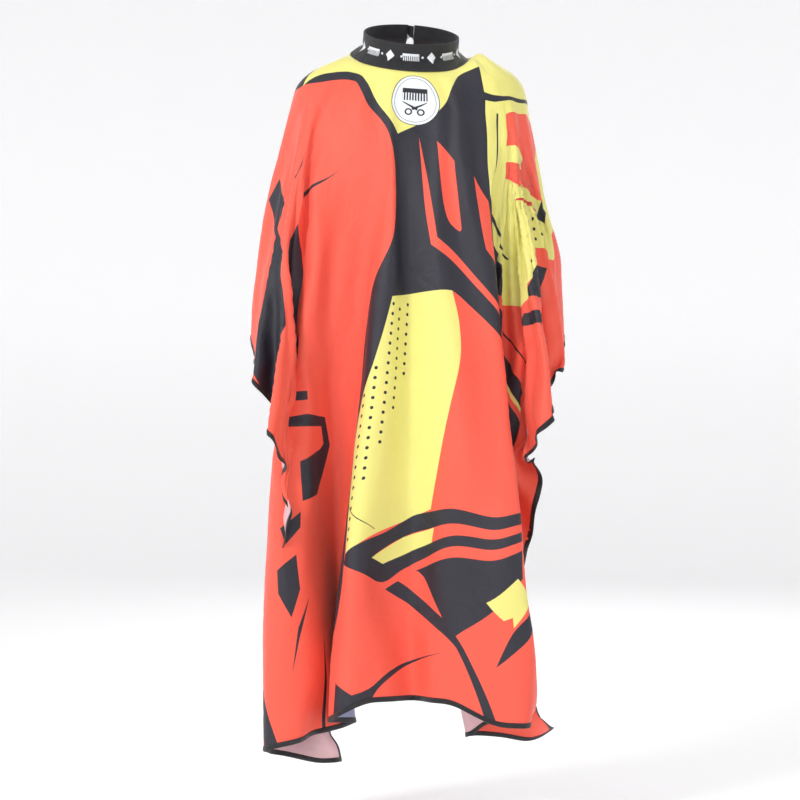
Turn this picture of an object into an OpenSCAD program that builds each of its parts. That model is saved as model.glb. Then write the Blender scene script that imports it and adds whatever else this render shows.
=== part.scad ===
// Barber cape: a rectangular polyester cloth with a neck hole near its back edge,
// bound all round, with a standing neck band that closes at the back with snaps.
// Millimetres. +Z is up, the front of the cape faces -Y, and the origin is the
// centre of the neck opening, where the cape is held.

/* [Cloth cut] */
// Width of the flat cloth from side to side
cloth_w = 1360; // [1160:10:1650]
// Flat length from the neck centre to the front hem
front_len = 1210; // [1000:10:1460]
// Flat length from the neck centre to the back hem
back_len = 380; // [310:5:460]
// Thickness of the cloth's solid
cloth_t = 1.6; // [1.2:0.1:2.4]
// Half of the gap between the edges of the back opening, at the neck
slit_top = 5; // [4:0.5:8]
// Half of that gap at the back hem
slit_bottom = 14; // [10:1:30]

/* [Drape] */
// Half width of the shoulders that carry the cloth
shoulder_x = 150; // [125:5:180]
// Half depth of the shoulders that carry the cloth
shoulder_y = 75; // [60:5:90]
// Radius at which the cloth turns down over the shoulders
shoulder_r = 55; // [45:5:66]
// Drop of the shoulder line from the neck to its end
shoulder_drop = 30; // [20:2:40]
// Angle at which the front and the back stand away from upright
front_flare = 6.5; // [4:0.5:9]
// Angle at which the sides stand away from upright
side_flare = 10; // [6:0.5:13]
// Further angle of the corner lobes
lobe_flare = 1.5; // [0:0.5:4]
// Depth of the hanging folds, one metre down
fold_depth = 16; // [8:2:22]
// Number of folds around the cape
folds = 11; // [8:1:13]

/* [Neck band] */
// Inner radius of the neck opening
neck_r = 85; // [70:1:102]
// Height of the upright part of the band
band_h = 26; // [24:1:32]
// Height of the flared foot of the band
foot_h = 18; // [14:1:24]
// How far the foot flares out
foot_out = 21; // [14:1:26]
// Thickness of each of the band's three layers
layer_t = 0.8; // [0.6:0.1:1.2]
// Forward tilt of the band
band_tilt = 22; // [12:1:26]
// Sideways lean of the band
band_roll = 4; // [0:1:6]
// Length of the band's gap at the centre of the back
band_gap = 12; // [9:1:18]

/* [Edge binding] */
// Width of the binding
bind_w = 8; // [6:1:12]
// How much thicker than the cloth the binding is on each face
bind_t = 0.5; // [0.3:0.1:1]
// Width of the tape behind the neck seam
tape_w = 6; // [4:1:8]
// Thickness of that tape
tape_t = 0.6; // [0.4:0.1:1]

/* [Back closure] */
// Height of the closure tab
tab_h = 22; // [16:1:24]
// Space between the band and the closed tab
tab_gap = 2.2; // [2.1:0.1:2.8]
// Spacing of the snaps along the band
snap_pitch = 18; // [14:1:22]
// Snaps on the tab
tab_snaps = 2; // [1:1:2]
// Studs on the band, for adjusting the neck
band_studs = 4; // [3:1:5]
// Length of tab beyond its last snap
tab_end = 10; // [8:1:14]
// Diameter of a snap's cap
cap_d = 11; // [9:0.5:13]
// Diameter of a stud's head
stud_d = 4; // [3.5:0.5:4.5]

/* [Hidden] */

red = [0.90, 0.25, 0.16];
black = [0.10, 0.10, 0.13];
steel = [0.75, 0.76, 0.78];

fit = 0.1;             // clearance between sewn layers
sew = 0.3;             // clearance where the cloth meets another piece
half_t = cloth_t / 2;
side_x = cloth_w / 2;
$fn = 96;

// Neck band: its three layers, from the neck outwards
core_r = neck_r + layer_t + fit;
outer_r = core_r + layer_t + fit;
face_r = outer_r + layer_t;
band_low = -band_h / 2;
seam_z = band_low - foot_h;
seam_r = face_r + foot_out;
cloth_neck_r = seam_r + sew;
gap_deg = deg_of(band_gap / 2);

// The seam's shape fades into the hanging cloth over this width
neck_blend = 62;
chest_drop = 26;       // how much lower than the back the chest carries the cloth

// Snaps
snap_deg = deg_of(snap_pitch);
first_stud_deg = 180 + gap_deg + deg_of(9);
first_snap_deg = first_stud_deg + snap_deg;
tab_start_deg = 180 - gap_deg + 0.3;
tab_end_deg = first_snap_deg + (tab_snaps - 1) * snap_deg + deg_of(tab_end);
tab_step_deg = 2 * gap_deg - 0.8;    // the tab steps out over the band's other end
tab_shift = face_r - neck_r + tab_gap;
tab_face_r = face_r + tab_shift;
flange_d = 9;
flange_t = 0.4;
stud_top = 1.5;
socket_d = 10;
socket_low = flange_t + 0.15;
socket_floor = 1.6;
socket_top = 1.85;
socket_play = 0.9;     // room around a stud's head, because the tab swings off it
post_d = 2.2;
cap_t = 1.4;
ring_t = 0.5;

// ---- helpers ---------------------------------------------------------------
function clamp(x, low, high) = min(max(x, low), high);
function ease(x) = let (t = clamp(x, 0, 1)) t * t * (3 - 2 * t);
function unit(v) = v / norm(v);
function deg_of(length) = length / face_r * 180 / PI;
// The values between two ends, in n equal steps, without the ends
function between(a, b, n) = [for (i = [1 : n - 1]) a + (b - a) * i / n];
function reversed(list) = [for (i = [len(list) - 1 : -1 : 0]) list[i]];

// A point around the band: 0 degrees is the front, 90 is the wearer's left
function around(deg, r, z) = [r * sin(deg), -r * cos(deg), z];
// A point of the band's own frame, in the cape's frame
function leaned(p) =
    let (x = p.x * cos(band_roll) + p.z * sin(band_roll),
         z = -p.x * sin(band_roll) + p.z * cos(band_roll))
    [x, p.y * cos(band_tilt) - z * sin(band_tilt),
     p.y * sin(band_tilt) + z * cos(band_tilt)];
module in_band_frame() {
    rotate([band_tilt, 0, 0]) rotate([0, band_roll, 0]) children();
}

// ---- the draped cloth --------------------------------------------------------
// The flat cloth's point (u, v) has u to the wearer's left and v to the back. Above
// the shoulders the cloth lies on them. Beyond them it turns down, and hangs by its
// flat distance from their edge.
function hung(u, v) =
    let (qx = clamp(u, -shoulder_x, shoulder_x),
         qy = clamp(v, -shoulder_y, shoulder_y),
         top = seam_z - shoulder_drop * ease((abs(qx) - 70) / (shoulder_x - 70))
               - chest_drop * ease(-qy / shoulder_y),
         off = [u - qx, v - qy],
         d = norm(off))
    d < 0.001 ? [qx, qy, top] :
    let (way = off / d,
         lobe = pow(sin(2 * atan2(abs(off.x), abs(off.y))), 2),
         beta = side_flare * pow(way.x, 2) + front_flare * pow(way.y, 2) + lobe_flare * lobe,
         bend = min(d, shoulder_r * (90 - beta) * PI / 180),
         bend_deg = bend / shoulder_r * 180 / PI,
         drop = d - bend,
         out = shoulder_r * sin(bend_deg) + drop * sin(beta),
         down = shoulder_r * (1 - cos(bend_deg)) + drop * cos(beta),
         deg = atan2(qx + way.x * out, -(qy + way.y * out)),
         wave = fold_depth * ease(drop / 1000) * cos(folds * deg))
    [qx + way.x * (out + wave), qy + way.y * (out + wave), top - down];

// The same cloth with its neck edge drawn up to the band's seam
function draped(u, v) =
    let (r = norm([u, v]),
         w = ease(1 - (r - cloth_neck_r) / neck_blend))
    w * leaned(around(atan2(u, -v), r, seam_z)) + (1 - w) * hung(u, v);

function cloth_normal(u, v) =
    let (step = 2,
         du = draped(u + step, v) - draped(u - step, v),
         dv = draped(u, v + step) - draped(u, v - step))
    unit(cross(du, dv));

// The flat outline from the back opening, round one side, to the front's centre
half_outline = concat(
    [[slit_bottom, back_len]],
    [for (x = between(slit_bottom, side_x, 8)) [x, back_len]],
    [[side_x, back_len]],
    [for (y = between(back_len, -front_len, 18)) [side_x, y]],
    [[side_x, -front_len]],
    [for (x = between(side_x, 0, 8)) [x, -front_len]],
    [[0, -front_len]]);
half_count = len(half_outline);
back_corner = 8;
front_corner = back_corner + 18;
last_col = 2 * half_count - 2;
rings = 14;

// Columns run from the neck to the outline: first the wearer's right half, then the left
function outline(k) =
    k < half_count ? [-half_outline[k].x, half_outline[k].y]
                   : half_outline[last_col - k];
// The cloth's own edge, inside the binding
function cloth_edge(k) =
    let (p = outline(k),
         x = clamp(abs(p.x), p.y == back_len ? slit_bottom + bind_w : 0, side_x - bind_w))
    [sign(p.x) * x, clamp(p.y, -front_len + bind_w, back_len - bind_w)];
// Where a column starts at the neck
function neck_point(k) =
    let (p = cloth_edge(k))
    k == 0 || k == last_col
        ? [sign(p.x) * (slit_top + bind_w),
           sqrt(pow(cloth_neck_r, 2) - pow(slit_top + bind_w, 2))]
        : cloth_neck_r * p / norm(p);
function flat_point(k, j) =
    let (t = pow(j / rings, 1.6))
    neck_point(k) * (1 - t) + cloth_edge(k) * t;

// The two triangles of a grid cell. They mirror each other on the cape's two halves.
function halves(a, rows, other_way) =
    let (b = a + 1, c = a + rows + 1, d = a + rows)
    other_way ? [[a, b, d], [b, c, d]] : [[a, b, c], [a, c, d]];
// The two triangles of a quad in the sheet's edge, which mirror each other as well
function edge_halves(a, b, count, other_way) =
    other_way ? [[a, a + count, b + count], [a, b + count, b]]
              : [[b, a, a + count], [b, a + count, b + count]];
// A closed sheet over a grid of flat points, listed column by column
module sheet(cols, rows, points, half) {
    count = cols * rows;
    at = [for (p = points) draped(p.x, p.y)];
    up = [for (p = points) cloth_normal(p.x, p.y)];
    rim = concat([for (j = [0 : rows - 1]) j],
                 [for (k = [1 : cols - 1]) k * rows + rows - 1],
                 [for (j = [rows - 2 : -1 : 0]) (cols - 1) * rows + j],
                 [for (k = [cols - 2 : -1 : 1]) k * rows]);
    polyhedron(
        concat([for (i = [0 : count - 1]) at[i] + up[i] * half],
               [for (i = [0 : count - 1]) at[i] - up[i] * half]),
        concat(
            [for (k = [0 : cols - 2], j = [0 : rows - 2], s = [0, 1])
                let (a = k * rows + j, half_quad = halves(a, rows, points[a].x > 0))
                half_quad[s]],
            [for (k = [0 : cols - 2], j = [0 : rows - 2], s = [0, 1])
                let (a = k * rows + j, half_quad = halves(a, rows, points[a].x > 0))
                reversed([for (i = half_quad[s]) i + count])],
            [for (i = [0 : len(rim) - 1], s = [0, 1])
                let (a = rim[i], b = rim[(i + 1) % len(rim)],
                     half_quad = edge_halves(a, b, count, points[a].x + points[b].x > 0))
                half_quad[s]]));
}

module cape_cloth() {
    color(red)
        sheet(last_col + 1, rings + 1,
              [for (k = [0 : last_col], j = [0 : rings]) flat_point(k, j)], half_t);
}

// A binding along the outline, from one column to another
module hem_strip(from, to) {
    color(black)
        sheet(to - from + 1, 2,
              [for (k = [from : to], s = [0, 1])
                  let (a = cloth_edge(k), b = outline(k))
                  s == 0 ? a + unit(b - a) * sew : b],
              half_t + bind_t);
}
// A binding along one edge of the back opening
module opening_strip(col) {
    way = sign(cloth_edge(col).x);
    points = [for (j = [0 : rings], s = [0, 1])
        let (p = flat_point(col, j),
             q = [p.x - way * (s == 0 ? sew : bind_w), j == rings && s == 1 ? back_len : p.y])
        norm(q) < cloth_neck_r ? cloth_neck_r * unit(q) : q];
    color(black) sheet(rings + 1, 2, points, half_t + bind_t);
}

module hem_binding_front() { hem_strip(front_corner, last_col - front_corner); }
module hem_binding_right() { hem_strip(back_corner, front_corner); }
module hem_binding_left() { hem_strip(last_col - front_corner, last_col - back_corner); }
module hem_binding_back_right() { hem_strip(0, back_corner); }
module hem_binding_back_left() { hem_strip(last_col - back_corner, last_col); }
module opening_binding_right() { opening_strip(0); }
module opening_binding_left() { opening_strip(last_col); }

// ---- the neck band -----------------------------------------------------------
// One layer of the band: upright at the neck, flared below to the seam
module band_layer(r) {
    color(black) in_band_frame()
        rotate([0, 0, 90 + gap_deg])
            rotate_extrude(angle = 360 - 2 * gap_deg)
                polygon([[r, -band_low], [r, band_low], [r + foot_out, seam_z],
                         [r + foot_out + layer_t, seam_z], [r + layer_t, band_low],
                         [r + layer_t, -band_low]]);
}
// A place on the band: +X runs outwards from the neck, with x = 0 on the band's face
module on_band(deg) {
    in_band_frame() rotate([0, 0, deg - 90]) translate([face_r, 0, 0]) children();
}
// A disc or a hole along the outward direction, between two heights above the face
module disc(d, low, high) {
    translate([low, 0, 0]) rotate([0, 90, 0]) cylinder(d = d, h = high - low, $fn = 48);
}
function stud_deg(i) = first_stud_deg + i * snap_deg;
function snap_at(i) = first_snap_deg + i * snap_deg;
core_face = core_r - face_r;    // the interlining's inner side, measured from the face

module neckband_outer() {
    difference() {
        band_layer(outer_r);
        for (i = [0 : band_studs - 1])
            on_band(stud_deg(i)) disc(post_d + 2 * fit, -2 * layer_t, 1);
    }
}
// The interlining has a window for each prong ring
module neckband_interlining() {
    difference() {
        band_layer(core_r);
        for (i = [0 : band_studs - 1])
            on_band(stud_deg(i)) disc(flange_d + 4 * fit, core_face - 0.5, 0);
    }
}
module neckband_lining() { band_layer(neck_r); }

// The tape that covers the neck seam from inside
module neck_seam_tape() {
    color(black) in_band_frame()
        rotate([0, 0, 90 + gap_deg])
            rotate_extrude(angle = 360 - 2 * gap_deg)
                translate([seam_r - tape_w / 2, seam_z - half_t - bind_t - sew - tape_t])
                    square([tape_w, tape_t]);
}

// ---- the closure tab ---------------------------------------------------------
// The band's end runs on as a tab, which steps out over the band's other end
function tab_radius(deg, r) = r + tab_shift * ease((deg - tab_start_deg) / tab_step_deg);
module tab_layer(r) {
    steps = 36;
    degs = concat([tab_start_deg], between(tab_start_deg, tab_end_deg, steps),
                  [tab_end_deg]);
    difference() {
        color(black) in_band_frame()
            translate([0, 0, -tab_h / 2])
                linear_extrude(tab_h)
                    polygon(concat(
                        [for (deg = degs)
                            let (p = around(deg, tab_radius(deg, r), 0)) [p.x, p.y]],
                        [for (deg = reversed(degs))
                            let (p = around(deg, tab_radius(deg, r + layer_t), 0))
                            [p.x, p.y]]));
        for (i = [0 : tab_snaps - 1])
            on_band(snap_at(i)) disc(post_d + 2 * fit, 0, 2 * tab_shift);
    }
}
module closure_tab_outer() { tab_layer(outer_r); }
module closure_tab_interlining() { tab_layer(core_r); }
module closure_tab_lining() { tab_layer(neck_r); }

// ---- the snaps ---------------------------------------------------------------
// Domed caps outside the tab, each on a post through it
module snap_caps() {
    dome_r = (pow(cap_d / 2, 2) + pow(cap_t, 2)) / (2 * cap_t);
    color(black)
        for (i = [0 : tab_snaps - 1])
            on_band(snap_at(i)) {
                translate([tab_shift + 0.02, 0, 0])
                    rotate([0, 90, 0])
                        rotate_extrude($fn = 48)
                            intersection() {
                                translate([0, cap_t - dome_r]) circle(dome_r, $fn = 96);
                                square([cap_d, cap_t]);
                            }
                disc(post_d, socket_floor, tab_shift + 0.02 + cap_t / 2);
            }
}
// Sockets inside the tab, each clenched on its cap's post
module snap_sockets() {
    color(steel)
        for (i = [0 : tab_snaps - 1])
            on_band(snap_at(i))
                difference() {
                    disc(socket_d, socket_low, socket_top);
                    disc(stud_d + 2 * socket_play, 0, socket_floor);
                    disc(post_d + 0.02, socket_floor - 0.1, socket_top + 0.1);
                }
}
// Studs on the band's other end
module snap_studs() {
    color(steel)
        for (i = [0 : band_studs - 1])
            on_band(stud_deg(i)) {
                disc(flange_d, 0.01, flange_t);
                disc(stud_d, 0.01, stud_top);
                disc(post_d, core_face + fit, flange_t);
            }
}
// Prong rings in the interlining's windows, which hold the studs
module snap_prong_rings() {
    color(steel)
        for (i = [0 : band_studs - 1])
            on_band(stud_deg(i))
                difference() {
                    disc(flange_d, core_face + 0.05, core_face + 0.05 + ring_t);
                    disc(post_d + 0.02, core_face - 1, 0);
                }
}

cape_cloth();
hem_binding_front();
hem_binding_left();
hem_binding_right();
hem_binding_back_left();
hem_binding_back_right();
opening_binding_left();
opening_binding_right();
neckband_outer();
neckband_interlining();
neckband_lining();
neck_seam_tape();
closure_tab_outer();
closure_tab_interlining();
closure_tab_lining();
snap_caps();
snap_sockets();
snap_studs();
snap_prong_rings();
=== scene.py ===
"""A barber cape, hung as on a seated wearer: cloth, bindings, neck band and closure tab.
Metres. +Z is up, the front faces -Y, and the origin is the centre of the neck opening."""
import math

import bpy
import numpy as np
from mathutils import Matrix, Vector, noise
from mathutils.bvhtree import BVHTree
from mathutils.geometry import delaunay_2d_cdt


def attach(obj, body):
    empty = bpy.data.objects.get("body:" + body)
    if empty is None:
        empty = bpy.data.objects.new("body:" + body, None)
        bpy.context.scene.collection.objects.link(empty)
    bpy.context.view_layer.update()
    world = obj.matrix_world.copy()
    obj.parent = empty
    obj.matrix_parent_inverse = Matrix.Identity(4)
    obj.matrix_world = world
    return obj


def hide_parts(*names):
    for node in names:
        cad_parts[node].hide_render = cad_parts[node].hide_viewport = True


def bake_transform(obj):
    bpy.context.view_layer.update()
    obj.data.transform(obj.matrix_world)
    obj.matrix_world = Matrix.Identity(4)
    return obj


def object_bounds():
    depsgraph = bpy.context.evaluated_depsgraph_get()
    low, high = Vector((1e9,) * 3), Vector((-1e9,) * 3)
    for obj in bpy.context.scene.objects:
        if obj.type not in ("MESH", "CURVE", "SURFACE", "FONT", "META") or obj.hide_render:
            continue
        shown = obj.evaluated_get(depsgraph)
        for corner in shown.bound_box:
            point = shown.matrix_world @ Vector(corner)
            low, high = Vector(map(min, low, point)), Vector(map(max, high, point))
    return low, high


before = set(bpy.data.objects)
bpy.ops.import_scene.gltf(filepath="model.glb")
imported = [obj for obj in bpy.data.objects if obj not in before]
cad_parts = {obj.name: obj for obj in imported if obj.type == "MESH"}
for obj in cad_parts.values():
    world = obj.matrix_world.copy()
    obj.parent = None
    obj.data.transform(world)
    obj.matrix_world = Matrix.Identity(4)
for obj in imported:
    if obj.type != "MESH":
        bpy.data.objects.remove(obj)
cad_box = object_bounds()
scene = bpy.context.scene

# ---- sizes, as in the CAD source ----
HALF_W, FRONT, BACK = 0.68, 1.21, 0.38
SLIT_TOP, SLIT_BOTTOM = 0.005, 0.014
NECK_R, BAND_H, FOOT_H, FOOT_OUT = 0.085, 0.026, 0.018, 0.021
LAYER, LAYER_GAP = 0.0008, 0.0001
THICK = 3 * LAYER + 2 * LAYER_GAP
FACE_R = NECK_R + 3 * LAYER + 2 * LAYER_GAP
SEAM_Z = -BAND_H / 2 - FOOT_H
SEAM_R = FACE_R + FOOT_OUT
BIND_W = 0.008
GAP_DEG = math.degrees(0.006 / FACE_R)
BAND_FROM, BAND_TO = -180 + GAP_DEG, 180 - GAP_DEG
TAB_H = 0.022
TAB_SHIFT = FACE_R - NECK_R + 0.0022
TAB_START = 180 - GAP_DEG + 0.3
TAB_STEP = 2 * GAP_DEG - 0.8
SNAP_DEG = math.degrees(0.018 / FACE_R)
FIRST_SNAP = 180 + GAP_DEG + math.degrees(0.009 / FACE_R) + SNAP_DEG
TAB_END = FIRST_SNAP + SNAP_DEG + math.degrees(0.010 / FACE_R)
BAND = Matrix.Rotation(math.radians(22), 4, "X") @ Matrix.Rotation(math.radians(4), 4, "Y")
SEAM = BAND @ Vector((0, 0, SEAM_Z))
CLOTH_R = SEAM_R - 0.0012      # the cloth's neck edge lies under the band's foot
CLOTH_T = 0.0005


def around(deg, r, z):
    """A point of the band: 0 degrees is the front, 90 the wearer's left, 180 the back."""
    a = math.radians(deg)
    return BAND @ Vector((r * math.sin(a), -r * math.cos(a), z))


def outward(deg, side=1):
    """The way out of the band there, or into it with side -1."""
    return (around(deg, side, 0) - around(deg, 0, 0)).normalized()


def smooth(x):
    x = min(max(x, 0.0), 1.0)
    return x * x * (3 - 2 * x)


# ---- camera: level, near the height of the cape's middle, straight in front ----
CAMERA_BACK, VIEW_HEIGHT = 3.6, 1.4
eye = bpy.data.objects.new("camera", bpy.data.cameras.new("camera"))
eye.data.lens = eye.data.sensor_width * (CAMERA_BACK - 0.15) / VIEW_HEIGHT
eye.location = (-0.020, -CAMERA_BACK, -0.655)
eye.rotation_euler = (math.pi / 2, 0, 0)
scene.collection.objects.link(eye)
scene.camera = eye

# ---- the cloth: simulated from the flat cut ----
CELL = 0.02


def slit_gap(v):
    t = (v - CLOTH_R) / (BACK - CLOTH_R)
    return SLIT_TOP + (SLIT_BOTTOM - SLIT_TOP) * min(max(t, 0), 1)


def curve(points, step=0.004):
    """A smooth curve through 2D points, as closely spaced points."""
    p = np.array([points[0], *points, points[-1]], float)
    out = []
    for a, b, c, d in zip(p, p[1:], p[2:], p[3:]):
        n = max(2, int(np.linalg.norm(c - b) / step))
        for t in np.arange(n) / n:
            out.append(0.5 * (2 * b + (c - a) * t + (2 * a - 5 * b + 4 * c - d) * t * t
                              + (3 * b - a - 3 * c + d) * t**3))
    return np.array([*out, p[-1]])


# The hem's plan from the middle of the front to each corner: a flat panel, a valley at
# the wearer's right of it, and the corners folded behind. Each half is as long as the hem.
LEFT_PLAN = curve([(.02, -.21), (.10, -.22), (.17, -.22), (.205, -.19), (.21, -.13),
                   (.17, -.06), (.09, -.03), (.03, -.02), (.02, .02), (.07, .05), (.15, .06)])
RIGHT_PLAN = curve([(.02, -.21), (-.06, -.205), (-.115, -.19), (-.135, -.13), (-.14, -.05),
                    (-.16, -.05), (-.185, -.14), (-.23, -.165), (-.275, -.14), (-.275, -.08),
                    (-.24, -.02), (-.17, 0), (-.15, .02)])
REST_X, REST_Y, TURN_R, DEEP = 0.17, 0.07, 0.06, 1.14


def hem_plan(u):
    path = LEFT_PLAN if u > 0 else RIGHT_PLAN
    along = np.r_[0, np.cumsum(np.linalg.norm(np.diff(path, axis=0), axis=1))]
    at = min(abs(u) / HALF_W, 1) * along[-1]
    return Vector((np.interp(at, along, path[:, 0]), np.interp(at, along, path[:, 1])))


def half_draped(u, v):
    """Where the cloth starts: over the shoulders, then straight down to the hem's plan."""
    qx, qy = max(-REST_X, min(REST_X, u)), max(-REST_Y, min(REST_Y, v))
    z = -0.045 * max(0, (abs(qx) - 0.09) / 0.1) - (0.03 * abs(qy) / REST_Y if qy < 0 else 0)
    off = Vector((u - qx, v - qy, 0))
    d = off.length
    if d < 1e-9:
        return SEAM + Vector((qx, qy, z))
    way = off / d
    deg = math.degrees(math.atan2(abs(way.x), -way.y))
    slant = math.radians(SIDE_SLANT - BACK_SLANT * smooth((deg - 80) / 40))
    turn = min(d / TURN_R, math.pi / 2 - math.radians(TURN_SLANT))
    drop = max(0, d - TURN_R * turn)
    edge = Vector((qx, qy, z)) + way * TURN_R * math.sin(turn)
    edge.z -= TURN_R * (1 - math.cos(turn))
    at_hem = qx if deg < 1e-6 else math.copysign(REST_X + DEEP * math.tan(math.radians(min(deg, 60))), u)
    target = (edge + way * DEEP * math.sin(slant)).xy
    wave = math.sin(math.radians(deg * FOLDS) + 1.1 * math.sin(math.radians(deg * 3)) + (1 if u > 0 else 2.4))
    begin = 24 if u < 0 else 29
    deep = FOLD_DEEP * smooth((deg - begin - 4) / 22) * (1 - 0.45 * smooth((deg - 90) / 40))
    target += way.xy * deep * wave * smooth((176 - deg) / 30)
    target = target.lerp(hem_plan(at_hem), 1 - smooth((deg - begin) / 24))
    shift = (target - edge.xy) * drop / DEEP
    if shift.length > 0.8 * drop:
        shift *= 0.8 * drop / shift.length
    return SEAM + edge + Vector((*shift, -math.sqrt(drop**2 - shift.length_squared)))


def seam_point(u, v):
    """The neck seam's point in the direction of a flat point."""
    a = math.atan2(u, -v)
    return BAND @ Vector((CLOTH_R * math.sin(a), -CLOTH_R * math.cos(a), SEAM_Z - 0.0006))


def flat_grid():
    """The cut as a grid, whose middle is rings that end on the neck circle. It is split
    behind the neck. Returns flat points, start points, faces and the neck's points."""
    nx, nf, nb = round(HALF_W / CELL), round(FRONT / CELL), round(BACK / CELL)
    n = max(6, round(0.16 / CELL))
    xs = np.linspace(-HALF_W, HALF_W, 2 * nx + 1)
    ys = [*np.linspace(-FRONT, 0, nf + 1), *np.linspace(0, BACK, nb + 1)[1:]]
    flat, at, index, faces = [], [], {}, []

    def key(i, j, side):
        return (i, j, side if i == nx and j >= nf + n else 0)

    for j, y in enumerate(ys):
        for i, x in enumerate(xs):
            if max(abs(i - nx), abs(j - nf)) < n:
                continue
            for side in (-1, 1) if key(i, j, 1)[2] else (0,):
                index[i, j, side] = len(flat)
                flat.append((x + side * slit_gap(y), y))
                at.append(half_draped(*flat[-1]))
    for j in range(len(ys) - 1):
        for i in range(len(xs) - 1):
            side = -1 if i < nx else 1
            quad = [key(a, b, side) for a, b in ((i, j), (i + 1, j), (i + 1, j + 1), (i, j + 1))]
            if all(k in index for k in quad):
                faces.append([index[k] for k in quad])
    loop = [(nx, nf + n, -1)] + [(nx - k, nf + n, 0) for k in range(1, n + 1)]
    loop += [(nx - n, nf + n - k, 0) for k in range(1, 2 * n + 1)]
    loop += [(nx - n + k, nf - n, 0) for k in range(1, 2 * n + 1)]
    loop += [(nx + n, nf - n + k, 0) for k in range(1, 2 * n + 1)]
    loop += [(nx + n - k, nf + n, 0) for k in range(1, n)] + [(nx, nf + n, 1)]
    rings = [[index[k] for k in loop]]
    steps = max(3, round((n * CELL - CLOTH_R) / CELL * 1.2))
    for r in range(1, steps + 1):
        t, ring = r / steps, []
        for k in loop:
            x, y = flat[index[k]]
            if k[2]:
                inner = (k[2] * SLIT_TOP, math.sqrt(CLOTH_R**2 - SLIT_TOP**2))
            else:
                inner = np.array((x, y)) * CLOTH_R / math.hypot(x, y)
            fx, fy = x * (1 - t) + inner[0] * t, y * (1 - t) + inner[1] * t
            ring.append(len(flat))
            flat.append((fx, fy))
            at.append(half_draped(fx, fy).lerp(seam_point(*inner), smooth(t)))
        rings.append(ring)
    for a, b in zip(rings, rings[1:]):
        faces += [[a[k], a[k + 1], b[k + 1], b[k]] for k in range(len(loop) - 1)]
    return np.array(flat), at, faces, rings[-1]


def mesh_object(name, points, faces):
    mesh = bpy.data.meshes.new(name)
    mesh.from_pydata([tuple(p) for p in points], [], faces)
    mesh.update()
    obj = bpy.data.objects.new(name, mesh)
    scene.collection.objects.link(obj)
    return obj


def remove(obj):
    mesh = obj.data
    bpy.data.objects.remove(obj)
    bpy.data.meshes.remove(mesh)


def wearer_form():
    """The wearer's neck, shoulders and chest, which the cloth falls on."""
    levels = [(.06, .050, .050, 0), (.02, .060, .060, 0), (0, .085, .070, .005),
              (-.008, .115, .076, .008), (-.02, .145, .080, .01), (-.034, .178, .083, .01),
              (-.052, .200, .088, .008), (-.08, .208, .094, 0), (-.12, .206, .104, -.005),
              (-.18, .212, .112, -.01), (-.28, .232, .110, -.008), (-.38, .255, .098, 0),
              (-.48, .275, .085, 0), (-.52, .25, .06, 0)]
    sides, points = 64, []
    for z, half_x, half_y, mid_y in levels:
        for k in range(sides):
            a = 2 * math.pi * k / sides
            c = math.copysign(abs(math.cos(a)) ** (2 / CHEST_SQUARE), math.cos(a))
            s = math.copysign(abs(math.sin(a)) ** (2 / CHEST_SQUARE), math.sin(a))
            lift = 0.035 * s * (1 - abs(c)) * min(1, (z + 0.06) / 0.04) if z > -0.06 else 0
            points.append(SEAM + Vector((half_x * c, mid_y + half_y * s, z + lift)))
    faces = []
    for r in range(len(levels) - 1):
        for k in range(sides):
            m = (k + 1) % sides
            faces.append([(r + 1) * sides + k, (r + 1) * sides + m, r * sides + m, r * sides + k])
    faces += [list(range(sides)), [len(points) - sides + k for k in range(sides)][::-1]]
    form = mesh_object("form", points, faces)
    form.modifiers.new("round", "SUBSURF").levels = 1
    form.modifiers.new("solid", "COLLISION")
    form.collision.thickness_outer = 0.004
    form.collision.cloth_friction = 8
    form.collision.damping = 0.2
    return form


def simulate(start, faces, neck, frames):
    """The cloth falls on the form, held at its neck seam. Returns its points."""
    form = wearer_form()
    cape = mesh_object("falling_cape", start, faces)
    cape.vertex_groups.new(name="pin").add(neck, 1.0, "REPLACE")
    cloth = cape.modifiers.new("cloth", "CLOTH")
    s = cloth.settings
    s.quality, s.mass, s.air_damping = 7, 0.3, AIR_DRAG
    s.tension_stiffness = s.compression_stiffness = 15
    s.shear_stiffness, s.bending_stiffness = 5, 0.5
    s.tension_damping = s.compression_damping = s.shear_damping = 5
    s.bending_damping = 0.5
    s.vertex_group_mass = "pin"
    c = cloth.collision_settings
    c.use_self_collision, c.self_distance_min, c.distance_min = True, 0.005, 0.004
    c.collision_quality, c.self_friction = 2, 5
    cloth.point_cache.frame_start, cloth.point_cache.frame_end = 1, frames
    scene.frame_end = frames
    for f in range(1, frames + 1):
        scene.frame_set(f)
    fallen = cape.evaluated_get(bpy.context.evaluated_depsgraph_get())
    at = np.array([v.co for v in fallen.data.vertices])
    scene.frame_set(1)
    remove(cape)
    remove(form)
    return at


TURN_SLANT, SIDE_SLANT, BACK_SLANT, CHEST_SQUARE = 8, 8.5, 6, 2.6
AIR_DRAG = 6
FRAMES = 16
FOLDS, FOLD_DEEP = 26, 0.08
grid_flat, grid_start, grid_faces, neck_points = flat_grid()
draped = simulate(grid_start, grid_faces, neck_points, FRAMES)


def drawn_in(x, free, limit):
    """Beyond free, x nears limit ever more slowly."""
    over = np.maximum(x - free, 0) / (limit - free)
    return np.where(x > free, free + (limit - free) * (1 - np.exp(-over)), x)


# The wearer's arms rest close to the body, which draws in the sleeves' and the back's folds
draped[:, 0] = np.sign(draped[:, 0]) * drawn_in(np.abs(draped[:, 0]), 0.25, 0.305)
draped[:, 1] = drawn_in(draped[:, 1], 0.13, 0.174)


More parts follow.
